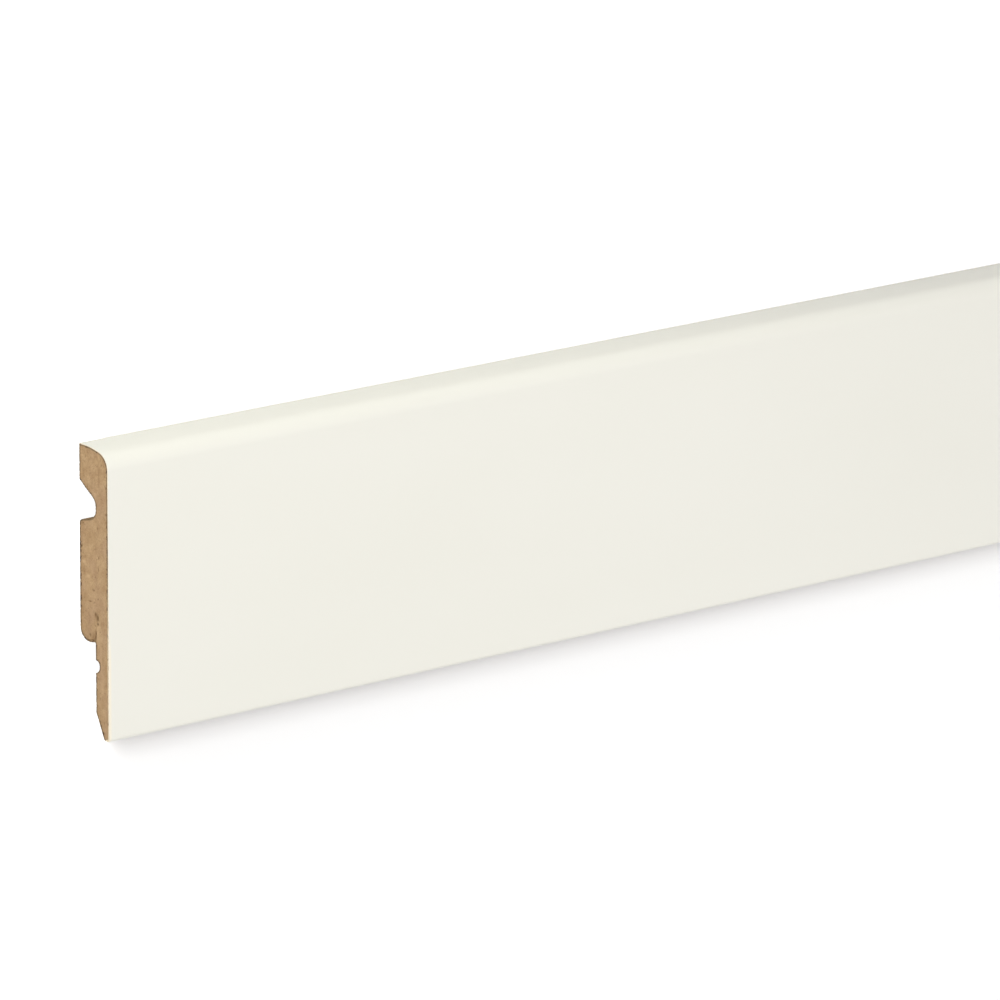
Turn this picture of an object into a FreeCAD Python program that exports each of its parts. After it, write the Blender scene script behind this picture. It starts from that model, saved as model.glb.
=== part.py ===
"""Skirting board length: an MDF moulding wrapped with a white film on its front and top.

The board lies on its back with the finished front upward. X is the length, Y runs across the
board from its thin bottom lip to its rounded top edge, Z is up. Sizes are in mm. Heights are
those of the board on its wall, so they are measured across it from the bottom edge.
"""
import FreeCAD, Part
import math
import os

# Stock sizes
length = 2400.0
height = 90.0
thickness = 12.0
film = 0.3

# Top edge: a gentle slope at the wall bends into a steeper one, which runs into the round nose
top_wall_slope = 7.0
top_front_slope = 17.5
top_bend_level = 4.3
top_bend_round = 26.0
top_round = 6.1

# Notch in the back that a wall clip hooks into, from its ledge up to its slanted flank
notch_ledge = 66.65
notch_mouth = 12.15
notch_depth = 6.7
notch_flank_angle = 41.5
notch_ledge_round = 1.2
notch_floor_round = 2.9
notch_flank_round = 3.2
notch_mouth_round = 1.0

# Recess behind the lower part, which clears cables and uneven floors, and leaves a thin web
web = 5.6
recess_height = 29.0
recess_edge_round = 4.4
recess_inner_round = 0.4

# The notch's ledge and the recess's upper face both lean this far down toward the wall
ledge_slope = 8.0

# Relief groove across the back of the thin lower part
groove_height = 22.5
groove_radius = 2.0
groove_depth = 1.6

# Bottom lip, bevelled behind so that it presses on the floor along a narrow edge
lip_width = 2.2
lip_bevel_height = 8.6
lip_front_round = 1.0
lip_back_round = 0.4

# The film ends under the lip, and just short of the wall plane
film_lap = 1.4
film_margin = 0.3

# Levels above the back plane
recess_level = thickness - web
core_front = thickness - film
film_end = thickness - film_lap

# Sideways run of each sloping face for each mm that it rises from the back plane
wall_run = math.tan(math.radians(top_wall_slope))
front_run = math.tan(math.radians(top_front_slope))
ledge_run = math.tan(math.radians(ledge_slope))
flank_run = math.tan(math.radians(notch_flank_angle))


def point(across, up):
    """A point of the section at the board's left end."""
    return FreeCAD.Vector(-length / 2, across - height / 2, up)


def path(corners):
    """Straight edges through (across, up, radius) corners, each rounded by an arc of its radius."""
    edges = []
    start = point(*corners[0][:2])
    for before, here, after in zip(corners, corners[1:], corners[2:]):
        corner = point(*here[:2])
        radius = here[2]
        backward = (point(*before[:2]) - corner).normalize()
        forward = (point(*after[:2]) - corner).normalize()
        inward = (backward + forward).normalize()
        half_angle = backward.getAngle(forward) / 2
        arc_start = corner + backward * (radius / math.tan(half_angle))
        arc_middle = corner + inward * (radius / math.sin(half_angle) - radius)
        arc_end = corner + forward * (radius / math.tan(half_angle))
        edges.append(Part.makeLine(start, arc_start))
        edges.append(Part.Arc(arc_start, arc_middle, arc_end).toShape())
        start = arc_end
    edges.append(Part.makeLine(start, point(*corners[-1][:2])))
    return edges


def extrude(edges):
    """The closed section, run out to the board's length."""
    return Part.Face(Part.Wire(edges)).extrude(FreeCAD.Vector(length, 0, 0))


def top_edge(up, inset):
    """How far across the top edge lies at a level near the wall, or a face inset from it."""
    return height - inset / math.cos(math.radians(top_wall_slope)) - up * wall_run


def bend_and_nose(inset):
    """Rounded corners of the top edge's bend and nose, or of a face parallel to it and inset."""
    bend = top_bend_level - inset * math.tan(math.radians((top_wall_slope + top_front_slope) / 2))
    nose = thickness - inset
    fall = inset / math.cos(math.radians(top_front_slope)) + (nose - top_bend_level) * front_run
    return [
        (top_edge(bend, inset), bend, top_bend_round - inset),
        (top_edge(top_bend_level, 0) - fall, nose, top_round - inset),
    ]


def make_mdf_core():
    """The moulding: its back profile from the lip up to the wall edge, then top and front."""
    groove_half_width = math.sqrt(groove_radius ** 2 - (groove_radius - groove_depth) ** 2)
    groove_low = groove_height - groove_half_width
    groove_high = groove_height + groove_half_width
    notch_top = notch_ledge + notch_mouth

    lip = path([
        (height / 2, core_front, 0),
        (film, core_front, lip_front_round - film),
        (film, thickness - lip_width, lip_back_round),
        (lip_bevel_height, recess_level, lip_back_round),
        (groove_low, recess_level, 0),
    ])
    groove = Part.Arc(
        point(groove_low, recess_level),
        point(groove_height, recess_level + groove_depth),
        point(groove_high, recess_level),
    ).toShape()
    recess_and_notch = path([
        (groove_high, recess_level, 0),
        (recess_height + recess_level * ledge_run, recess_level, recess_inner_round),
        (recess_height, 0, recess_edge_round),
        (notch_ledge, 0, notch_ledge_round),
        (notch_ledge + notch_depth * ledge_run, notch_depth, notch_floor_round),
        (notch_top - notch_depth * flank_run, notch_depth, notch_flank_round),
        (notch_top, 0, notch_mouth_round),
        (top_edge(0, film), 0, 0),
    ])
    top = path([(top_edge(0, film), 0, 0)] + bend_and_nose(film) + [(height / 2, core_front, 0)])
    return extrude(lip + [groove] + recess_and_notch + top)


def make_wrap_film():
    """The film: the core's top, nose, front and lip faces, and the same faces one film outward."""
    inside = path([
        (top_edge(film_margin, film), film_margin, 0),
        *bend_and_nose(film),
        (film, core_front, lip_front_round - film),
        (film, film_end, 0),
    ])
    outside = path([
        (0, film_end, 0),
        (0, thickness, lip_front_round),
        *reversed(bend_and_nose(0)),
        (top_edge(film_margin, 0), film_margin, 0),
    ])
    lip_end = Part.makeLine(point(film, film_end), point(0, film_end))
    wall_end = Part.makeLine(
        point(top_edge(film_margin, 0), film_margin),
        point(top_edge(film_margin, film), film_margin),
    )
    return extrude(inside + [lip_end] + outside + [wall_end])


os.makedirs("parts", exist_ok=True)
make_mdf_core().exportStep("parts/mdf_core.step")
make_wrap_film().exportStep("parts/wrap_film.step")
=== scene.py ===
"""Skirting board length: its fibreboard core and its off-white film, dressed for the picture.

The board lies on its back with the finished front upward. X is the length, Y runs across the
board from its bottom lip to its top edge, Z is up. The frame is in metres. The section's own sizes
are in mm, heights from the bottom edge and levels from the back plane, as in the part's source.
"""
import math

import bpy
import numpy as np
from mathutils import Matrix, Vector, noise
from mathutils.geometry import delaunay_2d_cdt


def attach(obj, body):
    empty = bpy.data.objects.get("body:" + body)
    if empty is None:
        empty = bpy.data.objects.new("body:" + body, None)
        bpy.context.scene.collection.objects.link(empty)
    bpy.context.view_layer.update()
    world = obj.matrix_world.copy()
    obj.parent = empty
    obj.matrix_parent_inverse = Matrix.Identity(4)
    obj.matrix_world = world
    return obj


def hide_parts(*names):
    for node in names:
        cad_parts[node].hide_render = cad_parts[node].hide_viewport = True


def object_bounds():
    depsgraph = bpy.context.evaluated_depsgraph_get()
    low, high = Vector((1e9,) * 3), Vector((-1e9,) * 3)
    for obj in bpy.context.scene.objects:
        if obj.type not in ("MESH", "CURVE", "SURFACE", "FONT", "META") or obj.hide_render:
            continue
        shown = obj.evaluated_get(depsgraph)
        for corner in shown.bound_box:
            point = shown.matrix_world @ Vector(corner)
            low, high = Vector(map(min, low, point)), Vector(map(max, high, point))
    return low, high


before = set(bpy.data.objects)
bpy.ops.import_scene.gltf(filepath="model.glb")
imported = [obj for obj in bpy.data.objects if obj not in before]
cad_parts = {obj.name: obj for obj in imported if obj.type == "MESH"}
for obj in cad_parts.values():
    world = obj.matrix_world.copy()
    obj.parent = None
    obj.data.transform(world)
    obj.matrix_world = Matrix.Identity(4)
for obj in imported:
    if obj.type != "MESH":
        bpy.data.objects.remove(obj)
cad_low, cad_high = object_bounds()

MM = 0.001

# Section of the board
height = 90.0
thickness = (cad_high.z - cad_low.z) / MM
film = 0.3
top_wall_slope = 7.0
top_front_slope = 17.5
top_bend_level = 4.3
top_bend_round = 26.0
top_round = 6.1
notch_ledge = 66.65
notch_mouth = 12.15
notch_depth = 6.7
notch_flank_angle = 41.5
notch_ledge_round = 1.2
notch_floor_round = 2.9
notch_flank_round = 3.2
notch_mouth_round = 1.0
web = 5.6
recess_height = 29.0
recess_edge_round = 4.4
recess_inner_round = 0.4
ledge_slope = 8.0
groove_height = 22.5
groove_radius = 2.0
groove_depth = 1.6
lip_width = 2.2
lip_bevel_height = 8.6
lip_front_round = 1.0
lip_back_round = 0.4
film_lap = 1.4
film_margin = 0.3
recess_level = thickness - web
core_front = thickness - film
film_end = thickness - film_lap

# Spacing of the points along the section and over the two cut ends
outline_pitch = 0.28
cut_pitch = 0.24

# Distances from a cut end at which the long faces have points, and how much of an edge chip is left
chip_rings = [(0.0, 1.0), (0.12, 0.55), (0.3, 0.15), (0.6, 0.0)]
chip_depth = 0.13

# Small grain caught under the film, on the front face
nib_along = 212.4
nib_height = 51.6
nib_radius = 0.45
nib_rise = 0.05
nib_dip_radius = 6.0

# Voids that the photo shows in the left cut end: height, level, half height, half width, depth
seen_voids = [
    (55.7, 7.7, 0.40, 0.22, 0.26),
    (52.2, 7.7, 1.26, 0.22, 0.14),
    (49.8, 6.4, 0.34, 0.31, 0.12),
    (45.6, 5.7, 0.25, 0.49, 0.19),
    (42.1, 4.1, 0.23, 0.70, 0.23),
    (41.9, 5.9, 0.25, 0.39, 0.20),
    (43.1, 7.4, 0.40, 0.28, 0.19),
    (37.2, 7.2, 1.03, 0.50, 0.30),
    (38.3, 6.3, 0.63, 0.42, 0.27),
    (35.4, 7.3, 0.45, 0.40, 0.30),
    (34.9, 6.3, 0.29, 0.25, 0.20),
    (31.9, 4.1, 0.52, 0.36, 0.20),
    (32.6, 6.5, 0.80, 0.25, 0.30),
    (31.2, 6.3, 0.80, 0.36, 0.26),
    (30.4, 5.2, 0.25, 1.12, 0.27),
    (30.2, 3.6, 0.25, 0.70, 0.19),
    (65.7, 1.3, 0.32, 0.31, 0.23),
    (64.6, 7.3, 0.69, 0.22, 0.19),
    (58.6, 0.6, 0.46, 0.35, 0.29),
    (77.3, 11.0, 0.52, 0.25, 0.29),
    (69.2, 11.0, 0.40, 0.28, 0.29),
    (66.9, 11.1, 0.34, 0.25, 0.26),
    (60.5, 11.2, 0.34, 0.22, 0.23),
    (56.0, 11.2, 0.40, 0.25, 0.27),
]

# Paler and darker patches in the left cut end: height, level, half height, half width, tone
seen_patches = [
    (33.6, 7.3, 3.2, 0.45, 0.9),
    (26.0, 8.6, 4.5, 0.40, 0.5),
    (31.6, 5.6, 1.2, 1.00, -1.0),
    (37.6, 6.7, 1.8, 1.00, -0.8),
    (74.9, 6.4, 1.2, 0.60, 0.6),
    (50.0, 6.6, 3.0, 0.90, -0.4),
    (84.0, 3.4, 2.6, 1.60, 0.3),
    (17.0, 8.8, 4.0, 1.20, 0.3),
    (49.7, 3.4, 0.60, 0.90, 1.2),
    (54.0, 1.6, 0.60, 0.70, 1.2),
    (50.0, 5.0, 12.0, 5.50, 0.2),
]

# Camera: the turn from square on, the tilt, the point that it looks at and its distance from it
camera_turn = 47.469
camera_tilt = 11.037
camera_lens = 392.06
camera_distance = 3.3755
camera_target = (-1.02722, 0.00419, cad_high.z)

# Sawn ends: pores scattered over each, deepest void, relief of fibres and of the saw, in mm
pore_count = 260
void_cap = 0.35
fibre_relief = 0.022
saw_relief = 0.015

# Sawn ends: heights between which the rim turns rougher, over which the pale band along the film
# widens downward, and over which the film's cream band begins, in mm, then that band's width in m
rough_below = (64.0, 60.0)
rough_above = (30.0, 44.0)
pale_band_heights = (60.0, 25.0)
cream_band_heights = (34.0, 26.0)
cream_band_width = 0.0011

# How far the film's outer arris is worn back at the sawn ends, in mm
film_wear = 0.05

# Light from all round, and the floor's tone for the light that it throws back
ambient_level = 0.32
ambient_colour = (1.0, 1.0, 1.0, 1.0)
floor_tone = 0.70

# Floor as it is seen: its tone, at which open floor is white, and the reach of its contact shade in m
floor_gain = 1.147
contact_reach = 0.0152

# Floor that glows plain white for the camera past the board's left end, over the board's shadow, then
# how far the glow takes to fade, in m
clear_floor = 0.0075
fade_floor = 0.0220
fade_power = 6.0

# How much the floor glows paler for the camera beyond the top edge, and the step before it in m
floor_beyond = 0.28
beyond_step = 0.002

# Suns: name, the side that each shines from, and strength; all are wide, so shadows are soft
suns = [
    ("overhead", (0.0, 0.0, 1.0), 1.22),
    ("side", (-0.90, 0.10, 0.42), 0.87),
    ("far side", (0.90, -0.12, 0.42), 0.50),
]
sun_width = math.radians(50)

# Lamps for the top edge: place, target, strength and colour
softbox = ((-1.62, 0.45, 0.12), (-1.15, 0.04, 0.01), 0.93, (0.97, 1.0, 0.85))
softbox_size = 0.25
spot = ((-1.13, 0.80, 0.30), (-1.07, 0.045, 0.01), 2.78, (0.98, 1.0, 0.90))
spot_cone = math.radians(40)
spot_radius = 0.08
card = ((0.81, 1.67, 0.45), (-1.0, 0.0, 0.0), 0.95, (1.0, 1.0, 0.96))
card_width = 2.0
card_height = 0.9
card_spread = math.radians(70)


def unit(vector):
    """The vector at length one."""
    return vector / np.linalg.norm(vector)


def run(start, end, pitch):
    """Points of a straight run after its start, up to its end."""
    steps = max(1, math.ceil(np.linalg.norm(end - start) / pitch - 1e-6))
    return [start + (end - start) * (i + 1) / steps for i in range(steps)]


def arc(centre, start, end, pitch):
    """Points of the shorter arc after its start, up to its end."""
    first = start - centre
    last = end - centre
    sweep = math.atan2(first[0] * last[1] - first[1] * last[0], first @ last)
    steps = max(4, math.ceil(abs(sweep) * np.linalg.norm(first) / pitch))
    points = []
    for i in range(steps):
        turn = sweep * (i + 1) / steps
        points.append(centre + np.array([
            first[0] * math.cos(turn) - first[1] * math.sin(turn),
            first[0] * math.sin(turn) + first[1] * math.cos(turn),
        ]))
    return points


def rounded(corners, pitch):
    """Points along straight runs through (height, level, radius) corners, each rounded by an arc."""
    points = [np.array(corners[0][:2], float)]
    for before, here, after in zip(corners, corners[1:], corners[2:]):
        corner = np.array(here[:2], float)
        backward = unit(np.array(before[:2]) - corner)
        forward = unit(np.array(after[:2]) - corner)
        half_angle = math.acos(np.clip(backward @ forward, -1.0, 1.0)) / 2
        reach = here[2] / math.tan(half_angle)
        points += run(points[-1], corner + backward * reach, pitch)
        if here[2] > 0:
            centre = corner + unit(backward + forward) * here[2] / math.sin(half_angle)
            points += arc(centre, points[-1], corner + forward * reach, pitch)
    points += run(points[-1], np.array(corners[-1][:2], float), pitch)
    return points


def top_edge(up, inset):
    """Height of the top edge at a level near the wall, or of a face parallel to it and inset."""
    slope = math.radians(top_wall_slope)
    return height - inset / math.cos(slope) - up * math.tan(slope)


def bend_and_nose(inset):
    """Rounded corners of the top edge's bend and nose, or of a face parallel to it and inset."""
    slope = math.radians(top_front_slope)
    bend = top_bend_level - inset * math.tan(math.radians((top_wall_slope + top_front_slope) / 2))
    nose = thickness - inset
    fall = inset / math.cos(slope) + (nose - top_bend_level) * math.tan(slope)
    return [
        (top_edge(bend, inset), bend, top_bend_round - inset),
        (top_edge(top_bend_level, 0) - fall, nose, top_round - inset),
    ]


def core_outline():
    """The core's section as one closed loop of (height, level) points in mm."""
    ledge_run = math.tan(math.radians(ledge_slope))
    flank_run = math.tan(math.radians(notch_flank_angle))
    groove_half = math.sqrt(groove_radius ** 2 - (groove_radius - groove_depth) ** 2)
    notch_top = notch_ledge + notch_mouth
    lip = rounded([
        (height / 2, core_front, 0),
        (film, core_front, lip_front_round - film),
        (film, thickness - lip_width, lip_back_round),
        (lip_bevel_height, recess_level, lip_back_round),
        (groove_height - groove_half, recess_level, 0),
    ], outline_pitch)
    groove_centre = np.array([groove_height, recess_level + groove_depth - groove_radius])
    groove_end = np.array([groove_height + groove_half, recess_level])
    groove = arc(groove_centre, lip[-1], groove_end, outline_pitch)
    rest = rounded([
        (groove_height + groove_half, recess_level, 0),
        (recess_height + recess_level * ledge_run, recess_level, recess_inner_round),
        (recess_height, 0, recess_edge_round),
        (notch_ledge, 0, notch_ledge_round),
        (notch_ledge + notch_depth * ledge_run, notch_depth, notch_floor_round),
        (notch_top - notch_depth * flank_run, notch_depth, notch_flank_round),
        (notch_top, 0, notch_mouth_round),
        (top_edge(0, film), 0, 0),
        *bend_and_nose(film),
        (height / 2, core_front, 0),
    ], outline_pitch)
    return np.array(lip + groove + rest[1:-1])


def film_outline():
    """The film's outer line from the wall edge to under the lip, as (height, level) points in mm."""
    return np.array(rounded([
        (top_edge(film_margin, 0), film_margin, 0),
        *bend_and_nose(0),
        (0, thickness, lip_front_round),
        (0, film_end, 0),
    ], outline_pitch))


def inward_normals(points, closed):
    """Unit normals that point into the board, for a line that runs down its front."""
    if closed:
        along = np.roll(points, -1, 0) - np.roll(points, 1, 0)
    else:
        along = np.gradient(points, axis=0)
    along /= np.linalg.norm(along, axis=1)[:, None]
    return np.stack([-along[:, 1], along[:, 0]], 1)


def in_section(spots, outline):
    """True for each spot that lies inside the closed outline."""
    inside = np.zeros(len(spots), bool)
    for a, b in zip(outline, np.roll(outline, -1, 0)):
        crosses = (a[1] > spots[:, 1]) != (b[1] > spots[:, 1])
        if a[1] != b[1]:
            meets = a[0] + (spots[:, 1] - a[1]) * (b[0] - a[0]) / (b[1] - a[1])
            inside ^= crosses & (spots[:, 0] < meets)
    return inside


def nearest(spots, outline):
    """Each spot's distance from the outline, in mm."""
    found = np.full(len(spots), np.inf)
    for part in np.array_split(outline, 40):
        gaps = np.linalg.norm(spots[:, None] - part[None], axis=2)
        found = np.minimum(found, gaps.min(1))
    return found


def noise_at(spots, size, seed):
    """Smooth noise from about -1 to 1 at (height, level) spots, with grains of the given size."""
    grain_height, grain_level = size
    return np.clip(2.0 * np.array([
        noise.noise(Vector((h / grain_height, l / grain_level, seed))) for h, l in spots
    ]), -1.0, 1.0)


def cut_points(outline, seed):
    """Scattered points inside the outline, on a shaken grid."""
    generator = np.random.default_rng(seed)
    heights = np.arange(0, height, cut_pitch)
    levels = np.arange(0, thickness, cut_pitch)
    spots = np.stack(np.meshgrid(heights, levels, indexing="ij"), -1).reshape(-1, 2)
    spots += generator.uniform(-0.32, 0.32, spots.shape) * cut_pitch
    spots = spots[in_section(spots, outline)]
    return spots[nearest(spots, outline) > 0.6 * cut_pitch]


def triangles_inside(spots, count):
    """Triangles over a closed border, the first count spots, and the spots inside it."""
    spots = spots.astype(np.float32).astype(float)
    border = [(i, (i + 1) % count) for i in range(count)]
    found = delaunay_2d_cdt([Vector(spot) for spot in spots], border, [], 1, 1e-7, True)
    sources = np.array([source[0] for source in found[3]])
    triangles = sources[np.array(found[2])]
    triangles = triangles[in_section(spots[triangles].mean(1), spots[:count])]
    first, second, third = (spots[triangles[:, i]] for i in range(3))
    a, b = second - first, third - first
    backward = a[:, 0] * b[:, 1] < a[:, 1] * b[:, 0]
    triangles[backward] = triangles[backward][:, ::-1]
    return triangles


def random_voids(outline, seed, count):
    """Small open pores, long in the direction of the board's faces as fibre layers lie."""
    generator = np.random.default_rng(seed)
    places = generator.uniform((0, 0), (height, thickness), (count * 3, 2))
    places = places[in_section(places, outline)][:count]
    voids = []
    for place in places:
        wide = generator.uniform(0.10, 0.22)
        tall = wide * generator.uniform(0.9, 3.0)
        deep = generator.uniform(0.03, 0.16)
        voids.append((place[0], place[1], tall, wide, deep))
    return voids


def spread(spots, patches):
    """The patches' last values spread round their places, each over its own half sizes."""
    total = np.zeros(len(spots))
    for up, level, tall, wide, value in patches:
        away = ((spots[:, 0] - up) / tall) ** 2 + ((spots[:, 1] - level) / wide) ** 2
        total += value * np.exp(-away * 1.2)
    return total


def chips(outline, seed):
    """How far each outline point is broken back into the board at a cut end, in mm."""
    rough = noise_at(outline, (0.55, 0.55), seed) + 0.6 * noise_at(outline, (2.3, 2.3), seed + 7)
    return chip_depth * np.clip(rough, 0.0, 1.0)


def to_frame(x, spots):
    """Frame coordinates in metres of (height, level) spots in mm at a place along the board."""
    return np.stack([
        np.broadcast_to(x, len(spots)),
        cad_low.y + spots[:, 0] * MM,
        cad_low.z + spots[:, 1] * MM,
    ], 1)


def stations(rings, between):
    """Places along the board in m: the rings near each cut end and evenly between, left to right."""
    near = [ring * MM for ring in rings]
    inner = np.linspace(near[-1], cad_high.x - cad_low.x - near[-1], between + 2)[1:-1]
    far = [cad_high.x - cad_low.x - step for step in reversed(near)]
    return np.array(near + list(inner) + far) + cad_low.x


def set_values(mesh, name, values):
    """Keeps one number for each vertex on the mesh, for its material to read."""
    mesh.attributes.new(name, "FLOAT", "POINT").data.foreach_set("value", np.float32(values))


def finish_piece(mesh, name, node, materials, uvs):
    """Makes the mesh a piece that stands for a node of the frame."""
    layer = mesh.uv_layers.new(name="OFBake")
    layer.data.foreach_set("uv", np.float32(uvs).ravel())
    for material in materials:
        mesh.materials.append(material)
    mesh.validate()
    mesh.shade_smooth()
    mesh.set_sharp_from_angle(angle=math.radians(38))
    piece = bpy.data.objects.new(name, mesh)
    bpy.context.scene.collection.objects.link(piece)
    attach(piece, "root")
    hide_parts(node)
    return piece


def make_core(materials):
    """The fibreboard core: milled long faces between two sawn ends, one closed mesh."""
    outline = core_outline()
    count = len(outline)
    inward = inward_normals(outline, True)
    places = stations([ring for ring, _ in chip_rings], 6)
    last = len(places) - 1
    broken = (chips(outline, 3.1), chips(outline, 17.6))

    vertices = []
    for i, x in enumerate(places):
        from_end = min(i, last - i)
        left = chip_rings[from_end][1] if from_end < len(chip_rings) else 0.0
        chip = broken[0 if i < last / 2 else 1] * left
        vertices.append(to_frame(x, outline + inward * chip[:, None]))
    # The map's upper part takes the long faces, and two strips below it take the sawn ends
    faces = []
    corner_uvs = []
    around = np.linspace(0.30, 0.99, count + 1)
    along = 0.01 + 0.98 * (places - cad_low.x) / (cad_high.x - cad_low.x)
    for i in range(last):
        for j in range(count):
            k = (j + 1) % count
            faces.append((i * count + j, i * count + k, (i + 1) * count + k, (i + 1) * count + j))
            corner_uvs += [
                (along[i], around[j]), (along[i], around[j + 1]),
                (along[i + 1], around[j + 1]), (along[i + 1], around[j]),
            ]
    slots = [0] * len(faces)
    void = [np.zeros(count * len(places))]
    tone = [np.zeros(count * len(places))]
    rim = [np.zeros(count * len(places))]

    glue_line = film_outline()
    glue_line += inward_normals(glue_line, False) * film
    skin = [np.tile(nearest(outline, glue_line), len(places))]

    total = count * len(places)
    for end, seed in ((0, 5), (1, 11)):
        ring = 0 if end == 0 else last * count
        border = outline + inward * broken[end][:, None]
        spots = cut_points(border, seed)
        voids = random_voids(outline, seed + 1, pore_count) + (seen_voids if end == 0 else [])
        patches = seen_patches if end == 0 else []
        open_depth = np.clip(spread(spots, voids), 0.0, void_cap)
        relief = fibre_relief * (1 + noise_at(spots, (0.9, 0.45), seed)) / 2
        relief += saw_relief * (1 + noise_at(spots, (5.0, 2.0), seed + 2)) / 2
        edge_gap = nearest(spots, outline)
        depth = (open_depth + relief) * np.clip(edge_gap / 0.25, 0.35, 1.0)
        inner = to_frame(cad_low.x + depth * MM if end == 0 else cad_high.x - depth * MM, spots)
        vertices.append(inner)
        void.append(open_depth / void_cap)
        tone.append(spread(spots, patches))
        rim.append(edge_gap)
        skin.append(nearest(spots, glue_line))

        flat = np.concatenate([border, spots])
        for triangle in triangles_inside(flat, count):
            if end == 0:
                triangle = triangle[::-1]
            faces.append([ring + p if p < count else total + p - count for p in triangle])
            slots.append(1)
            for up, level in flat[triangle]:
                corner_uvs.append((0.02 + 0.96 * up / height, 0.01 + 0.145 * end + 0.0107 * level))
        total += len(spots)

    mesh = bpy.data.meshes.new("core")
    mesh.from_pydata(np.concatenate(vertices).tolist(), [], faces)
    mesh.polygons.foreach_set("material_index", slots)
    set_values(mesh, "void", np.concatenate(void))
    set_values(mesh, "tone", np.concatenate(tone))
    set_values(mesh, "rim", np.clip(np.concatenate(rim), 0.0, 1.0))
    set_values(mesh, "skin", np.clip(np.concatenate(skin), 0.0, 1.0))
    return finish_piece(mesh, "core", "mdf_core", materials, corner_uvs)


def make_film(materials):
    """The wrapping film: outer and inner faces, its two long edges and its two cut ends."""
    outer = film_outline()
    count = len(outer)
    inward = inward_normals(outer, False)
    inner = outer + inward * film
    inner[0] = (top_edge(film_margin, film), film_margin)
    nib_x = cad_low.x + nib_along * MM
    near_nib = np.linspace(-2.4 * nib_radius, 2.4 * nib_radius, 17) * MM
    round_nib = np.linspace(1.0, 2.0 * nib_dip_radius, 8) * MM
    nib_places = nib_x + np.concatenate([-round_nib[::-1], near_nib, round_nib])
    places = np.sort(np.concatenate([stations([0.0, 0.08, 0.25, 1.0], 10), nib_places]))
    last = len(places) - 1

    vertices = []
    for i, x in enumerate(places):
        away = np.hypot(outer[:, 0] - nib_height, (x - nib_x) / MM)
        rise = np.exp(-2.2 * (away / nib_radius) ** 2) - np.exp(-2.2 * (away / nib_dip_radius) ** 2)
        rise *= nib_rise * (outer[:, 1] > thickness - 0.01)
        lifted = outer - inward * rise[:, None]
        worn = 0.0
        if i in (0, last):
            worn = film_wear * np.clip(noise_at(outer, (0.7, 0.7), 31.7 + i), 0.0, 1.0)[:, None]
        vertices.append(to_frame(x, lifted + inward * worn))
    for x in places:
        vertices.append(to_frame(x, inner))
    inside = count * len(places)

    # The map takes the outer face above, and below it the inner face and the cut edges in strips
    faces = []
    slots = []
    corner_uvs = []
    around = np.linspace(0.16, 0.99, count)
    under = np.linspace(0.12, 0.155, count)
    along = 0.01 + 0.98 * (places - cad_low.x) / (cad_high.x - cad_low.x)

    def quad(corners, uvs, slot):
        faces.append(corners)
        corner_uvs.extend(uvs)
        slots.append(slot)

    for i in range(last):
        for j in range(count - 1):
            a, b = i * count + j, i * count + j + 1
            c, d = b + count, a + count
            quad((a, b, c, d), [
                (along[i], around[j]), (along[i], around[j + 1]),
                (along[i + 1], around[j + 1]), (along[i + 1], around[j]),
            ], 0)
            quad((inside + a, inside + d, inside + c, inside + b), [
                (along[i], under[j]), (along[i + 1], under[j]),
                (along[i + 1], under[j + 1]), (along[i], under[j + 1]),
            ], 0)
        for j, v in ((0, 0.075), (count - 1, 0.095)):
            a, b = i * count + j, (i + 1) * count + j
            corners = [a, b, inside + b, inside + a]
            uvs = [(along[i], v), (along[i + 1], v), (along[i + 1], v + 0.01), (along[i], v + 0.01)]
            if j:
                corners.reverse()
                uvs.reverse()
            quad(corners, uvs, 1)
    strip = np.linspace(0.01, 0.99, count)
    for ring, v in ((0, 0.01), (last * count, 0.04)):
        for j in range(count - 1):
            a = ring + j
            corners = [a, inside + a, inside + a + 1, a + 1]
            uvs = [(strip[j], v), (strip[j], v + 0.02), (strip[j + 1], v + 0.02), (strip[j + 1], v)]
            if ring:
                corners.reverse()
                uvs.reverse()
            quad(corners, uvs, 1)

    mesh = bpy.data.meshes.new("film_wrap")
    mesh.from_pydata(np.concatenate(vertices).tolist(), [], faces)
    mesh.polygons.foreach_set("material_index", slots)
    return finish_piece(mesh, "film_wrap", "wrap_film", materials, corner_uvs)


def shade(red, green, blue):
    """A linear colour from its 0 to 255 values on a screen."""
    levels = [value / 255 for value in (red, green, blue)]
    return [v / 12.92 if v <= 0.04045 else ((v + 0.055) / 1.055) ** 2.4 for v in levels] + [1.0]


def grey(level):
    """A neutral linear colour."""
    return (level, level, level, 1.0)


def new_material(name):
    """A material with one main shader, and its node tree, shader and object coordinates."""
    material = bpy.data.materials.new(name)
    material.use_nodes = True
    tree = material.node_tree
    shader = tree.nodes["Principled BSDF"]
    place = tree.nodes.new("ShaderNodeTexCoord").outputs["Object"]
    return material, tree, shader, place


def add(tree, kind, inputs, **settings):
    """A node with its inputs set by name or number, each to a value or from another output."""
    made = tree.nodes.new(kind)
    for name, value in settings.items():
        setattr(made, name, value)
    for name, value in inputs.items():
        if isinstance(value, bpy.types.NodeSocket):
            tree.links.new(value, made.inputs[name])
        else:
            made.inputs[name].default_value = value
    return made


def grain(tree, place, stretch, detail, roughness=0.6):
    """Noise from 0 to 1 whose grains per metre along X, Y and Z are those of stretch."""
    moved = add(tree, "ShaderNodeMapping", {"Vector": place, "Scale": stretch})
    return add(tree, "ShaderNodeTexNoise", {
        "Vector": moved.outputs[0], "Scale": 1.0, "Detail": detail, "Roughness": roughness,
    }).outputs["Fac"]


def steps(tree, value, low, high, from_value=0.0, to_value=1.0):
    """The value's range from low to high, stretched to another range and held at its ends."""
    return add(tree, "ShaderNodeMapRange", {
        "Value": value, "From Min": low, "From Max": high, "To Min": from_value, "To Max": to_value,
    }).outputs[0]


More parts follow.
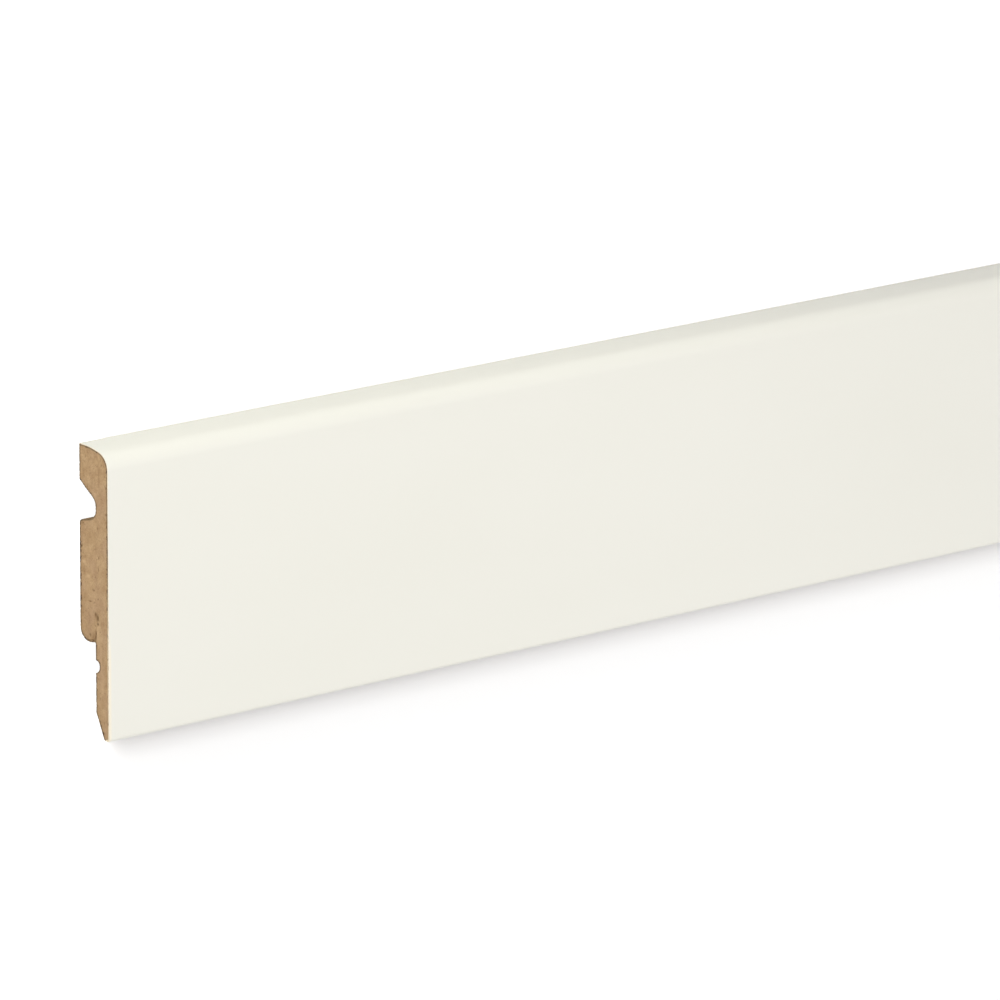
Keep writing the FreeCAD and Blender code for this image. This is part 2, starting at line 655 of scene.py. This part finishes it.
def math_node(tree, operation, first, second):
    """One sum on two values."""
    return add(tree, "ShaderNodeMath", {0: first, 1: second}, operation=operation).outputs[0]


def mixed(tree, factor, first, second, blend="MIX"):
    """Two colours mixed by a factor."""
    return add(tree, "ShaderNodeMix", {0: factor, 6: first, 7: second},
               data_type="RGBA", blend_type=blend).outputs[2]


def steps_up(tree, up, heights, from_value=0.0, to_value=1.0):
    """The object's Y, stretched from one height on the board to another, both in mm."""
    low, high = (cad_low.y + reached * MM for reached in heights)
    return steps(tree, up, low, high, from_value, to_value)


def value_of(tree, name):
    """A number that the mesh keeps for each vertex."""
    return add(tree, "ShaderNodeAttribute", {}, attribute_name=name).outputs["Fac"]


def bumped(tree, shader, level, distance, strength):
    """Puts a bump of the given height in metres on the shader."""
    bump = add(tree, "ShaderNodeBump", {
        "Height": level, "Distance": distance, "Strength": strength,
    })
    tree.links.new(bump.outputs[0], shader.inputs["Normal"])


def make_sawn_fibreboard():
    """The cut ends: warm tan, mottled, with fine fibres, open pores darkened in part with painted
    shade, and a dark spotted rim.

    Low down, a pale cream band lies on the edge next to the film, widening downward.
    """
    material, tree, shader, place = new_material("sawn fibreboard")
    clouds = grain(tree, place, (300, 260, 420), 3)
    layers = grain(tree, place, (500, 330, 900), 4)
    fibres = grain(tree, place, (2500, 1900, 3000), 5, 0.7)
    specks = grain(tree, place, (1600, 1100, 2000), 2)
    blush = grain(tree, place, (120, 90, 200), 2)
    colour = mixed(tree, steps(tree, clouds, 0.35, 0.68), shade(176, 142, 105), shade(205, 173, 134))
    colour = mixed(tree, steps(tree, layers, 0.40, 0.72, 0.0, 0.60), colour, shade(210, 178, 139))
    colour = mixed(tree, steps(tree, blush, 0.42, 0.66, 0.0, 0.40), colour, shade(186, 152, 126))
    colour = mixed(tree, steps(tree, fibres, 0.40, 0.62, 0.0, 0.48), colour, shade(158, 126, 92))
    colour = mixed(tree, steps(tree, specks, 0.64, 0.73, 0.0, 0.68), colour, shade(118, 90, 64))
    tone = value_of(tree, "tone")
    colour = mixed(tree, steps(tree, tone, 0.0, 1.0, 0.0, 0.7), colour, shade(214, 182, 142))
    colour = mixed(tree, steps(tree, tone, 0.0, -1.0, 0.0, 0.6), colour, shade(150, 116, 84))
    gap = value_of(tree, "rim")
    # Darker along the rim of each cut end, in noisy patches.
    rim_mottle = steps(tree, grain(tree, place, (700, 500, 700), 3), 0.38, 0.62, 0.60, 1.0)
    rim = math_node(tree, "MULTIPLY", steps(tree, gap, 0.28, 0.64, 1.0, 0.0), rim_mottle)
    colour = mixed(tree, rim, colour, shade(112, 95, 72))
    up = add(tree, "ShaderNodeSeparateXYZ", {0: place}).outputs["Y"]
    rough = math_node(tree, "MULTIPLY", steps_up(tree, up, rough_below),
                      steps_up(tree, up, rough_above))
    speckle = grain(tree, place, (900, 600, 900), 2)
    speckle = math_node(tree, "ADD", speckle, steps(tree, rough, 0.0, 1.0, -0.04, 0.04))
    spots = math_node(tree, "MULTIPLY", steps(tree, gap, 0.50, 0.78, 0.92, 0.0),
                      steps(tree, speckle, 0.55, 0.61))
    colour = mixed(tree, spots, colour, shade(80, 58, 46))
    # A pale cream band on the cut end along the film, wider low down.
    pale_band = steps_up(tree, up, pale_band_heights, 0.02, 0.36)
    pale_band = math_node(tree, "SUBTRACT", value_of(tree, "skin"), pale_band)
    colour = mixed(tree, steps(tree, pale_band, 0.0, 0.10, 0.9, 0.0), colour, shade(246, 228, 198))
    # Pores darkened by their depth: partly the pores' own colour, partly painted shade in their
    # hollows.
    void = steps(tree, value_of(tree, "void"), 0.05, 0.6, 0.0, 0.66)
    colour = mixed(tree, void, colour, shade(100, 76, 46))
    tree.links.new(colour, shader.inputs["Base Color"])
    tree.links.new(steps(tree, fibres, 0.3, 0.7, 0.86, 0.98), shader.inputs["Roughness"])
    shader.inputs["Specular IOR Level"].default_value = 0.25
    bumped(tree, shader, fibres, 0.00006, 0.6)
    return material


def make_milled_fibreboard():
    """The long faces: smoother and a little darker, with fine cutter lines along the board."""
    material, tree, shader, place = new_material("milled fibreboard")
    clouds = grain(tree, place, (24, 60, 60), 4)
    lines = grain(tree, place, (14, 2600, 2600), 3)
    specks = grain(tree, place, (700, 1100, 1100), 3)
    colour = mixed(tree, steps(tree, clouds, 0.35, 0.68), shade(176, 142, 105), shade(192, 160, 122))
    colour = mixed(tree, steps(tree, lines, 0.40, 0.68, 0.0, 0.35), colour, shade(158, 125, 91))
    colour = mixed(tree, steps(tree, specks, 0.60, 0.72, 0.0, 0.40), colour, shade(132, 101, 72))
    tree.links.new(colour, shader.inputs["Base Color"])
    tree.links.new(steps(tree, lines, 0.3, 0.7, 0.74, 0.90), shader.inputs["Roughness"])
    shader.inputs["Specular IOR Level"].default_value = 0.35
    bumped(tree, shader, lines, 0.00004, 0.5)
    return material


def make_film_face():
    """Off-white satin film, nearly even and faintly pebbled.

    Low down, a narrow cream band runs along its sawn ends.
    """
    material, tree, shader, place = new_material("satin film")
    drift = grain(tree, place, (5, 14, 14), 2)
    pebbles = grain(tree, place, (700, 900, 900), 2)
    colour = mixed(tree, steps(tree, drift, 0.3, 0.7), shade(243, 241, 231), shade(245, 243, 234))
    place_of = add(tree, "ShaderNodeSeparateXYZ", {0: place})
    from_middle = math_node(tree, "ABSOLUTE", place_of.outputs["X"], 0.0)
    # A narrow cream band on the face along each sawn end, low down.
    cream_band = steps(tree, from_middle, cad_high.x - cream_band_width, cad_high.x - 0.4 * cream_band_width)
    cream_band = math_node(tree, "MULTIPLY", cream_band,
                       steps_up(tree, place_of.outputs["Y"], cream_band_heights))
    colour = mixed(tree, cream_band, colour, shade(255, 246, 226))
    tree.links.new(colour, shader.inputs["Base Color"])
    tree.links.new(steps(tree, pebbles, 0.3, 0.7, 0.38, 0.46), shader.inputs["Roughness"])
    bumped(tree, shader, pebbles, 0.00002, 0.25)
    return material


def make_film_edge():
    """The film's cut edges: paler and creamier than its face, and matt."""
    material, tree, shader, place = new_material("film edge")
    streaks = grain(tree, place, (1500, 1500, 1500), 3)
    colour = mixed(tree, steps(tree, streaks, 0.35, 0.65), shade(250, 238, 216), shade(255, 246, 230))
    tree.links.new(colour, shader.inputs["Base Color"])
    tree.links.new(steps(tree, streaks, 0.3, 0.7, 0.6, 0.75), shader.inputs["Roughness"])
    return material


def backdrop_rays(tree):
    """One for rays that show the backdrop as it is: those of the camera, gloss and glass."""
    path = tree.nodes.new("ShaderNodeLightPath")
    seen = math_node(tree, "MAXIMUM", path.outputs["Is Camera Ray"], path.outputs["Is Glossy Ray"])
    return math_node(tree, "MAXIMUM", seen, path.outputs["Is Transmission Ray"])


def make_floor():
    """A very large pale floor on the plane that the board lies on. It is white but for shadow.

    Near the board's left end, under the board too, and past its top edge the camera sees it white
    or nearly so, as in the photo.
    """
    reach = 40.0
    mesh = bpy.data.meshes.new("floor")
    mesh.from_pydata([
        (-reach, -reach, cad_low.z), (reach, -reach, cad_low.z),
        (reach, reach, cad_low.z), (-reach, reach, cad_low.z),
    ], [], [(0, 1, 2, 3)])
    material = bpy.data.materials.new("pale floor")
    material.use_nodes = True
    tree = material.node_tree
    tree.nodes.clear()
    place = tree.nodes.new("ShaderNodeTexCoord").outputs["Object"]
    place_of = add(tree, "ShaderNodeSeparateXYZ", {0: place})
    beyond = steps(tree, place_of.outputs["Y"], cad_high.y - beyond_step, cad_high.y)
    open_sky = add(tree, "ShaderNodeAmbientOcclusion", {
        "Color": grey(floor_gain), "Distance": contact_reach,
    }, samples=8).outputs["Color"]
    shown = mixed(tree, beyond, open_sky, grey(floor_gain))
    tint = mixed(tree, backdrop_rays(tree), grey(floor_tone), shown)
    matt = add(tree, "ShaderNodeBsdfDiffuse", {"Color": tint})
    camera_ray = tree.nodes.new("ShaderNodeLightPath").outputs["Is Camera Ray"]
    # Painted light: near the left end and past the top edge the floor glows for the camera, so it
    # shows white or paler over the board's shadow.
    clear = cad_low.x + clear_floor
    near_end = steps(tree, place_of.outputs["X"], clear + fade_floor, clear)
    near_end = math_node(tree, "POWER", near_end, fade_power)
    beyond = math_node(tree, "MULTIPLY", beyond, floor_beyond)
    lift = math_node(tree, "MULTIPLY", math_node(tree, "MAXIMUM", near_end, beyond), camera_ray)
    glow = add(tree, "ShaderNodeEmission", {"Color": (1, 1, 1, 1), "Strength": lift})
    both = add(tree, "ShaderNodeAddShader", {0: matt.outputs[0], 1: glow.outputs[0]})
    add(tree, "ShaderNodeOutputMaterial", {"Surface": both.outputs[0]})
    mesh.materials.append(material)
    floor = bpy.data.objects.new("floor", mesh)
    bpy.context.scene.collection.objects.link(floor)


def make_world():
    """Even soft light from all round, and white behind everything."""
    world = bpy.data.worlds.new("studio")
    world.use_nodes = True
    tree = world.node_tree
    tree.nodes.clear()
    soft = add(tree, "ShaderNodeBackground", {"Color": ambient_colour, "Strength": ambient_level})
    white = add(tree, "ShaderNodeBackground", {"Color": (1, 1, 1, 1), "Strength": 1.0})
    shown = add(tree, "ShaderNodeMixShader", {
        0: backdrop_rays(tree), 1: soft.outputs[0], 2: white.outputs[0],
    })
    add(tree, "ShaderNodeOutputWorld", {"Surface": shown.outputs[0]})
    bpy.context.scene.world = world


def add_lamp(name, kind, place, target, strength, colour, **settings):
    """A lamp that points at a target and that the camera doesn't see. Gives its object."""
    lamp = bpy.data.lights.new(name, kind)
    lamp.energy = strength
    lamp.color = colour
    for setting, value in settings.items():
        setattr(lamp, setting, value)
    holder = bpy.data.objects.new(name, lamp)
    holder.location = place
    holder.rotation_euler = (Vector(target) - Vector(place)).to_track_quat("-Z", "Y").to_euler()
    holder.visible_camera = False
    bpy.context.scene.collection.objects.link(holder)
    return holder


def make_lamps():
    """Wide suns from above and past both ends, and three lamps for the top edge.

    The suns past the ends stay out of the gloss, or they would burn the film out where it is seen
    low from its other end. The card shows in the gloss alone: it stands low behind the top edge, so
    the nose mirrors it and the strip above it doesn't.
    """
    for name, direction, strength in suns:
        sun = add_lamp(name, "SUN", direction, (0, 0, 0), strength, (1.0, 1.0, 1.0), angle=sun_width)
        sun.visible_glossy = name == "overhead"
    add_lamp("top softbox", "AREA", *softbox, shape="DISK", size=softbox_size)
    add_lamp("top spot", "SPOT", *spot, spot_size=spot_cone, spot_blend=1.0,
             shadow_soft_size=spot_radius)
    nose_card = add_lamp("nose card", "AREA", *card, shape="RECTANGLE", size=card_width,
                         size_y=card_height, spread=card_spread)
    nose_card.visible_diffuse = False


def make_camera():
    """The photo's long lens, off the board's left end and looking down on its front."""
    turn = math.radians(camera_turn)
    tilt = math.radians(camera_tilt)
    right = Vector((math.cos(turn), 0.0, math.sin(turn)))
    forward = Vector((
        math.sin(turn) * math.cos(tilt), -math.sin(tilt), -math.cos(turn) * math.cos(tilt),
    ))
    up = right.cross(forward)
    data = bpy.data.cameras.new("camera")
    data.sensor_width = 36.0
    data.lens = camera_lens
    camera = bpy.data.objects.new("camera", data)
    place = Vector(camera_target) - forward * camera_distance
    axes = Matrix((right, up, -forward)).transposed()
    camera.matrix_world = Matrix.Translation(place) @ axes.to_4x4()
    bpy.context.scene.collection.objects.link(camera)
    bpy.context.scene.camera = camera


make_camera()
make_world()
make_floor()
make_lamps()
make_core([make_milled_fibreboard(), make_sawn_fibreboard()])
make_film([make_film_face(), make_film_edge()])

bpy.context.scene.view_settings.view_transform = "Standard"
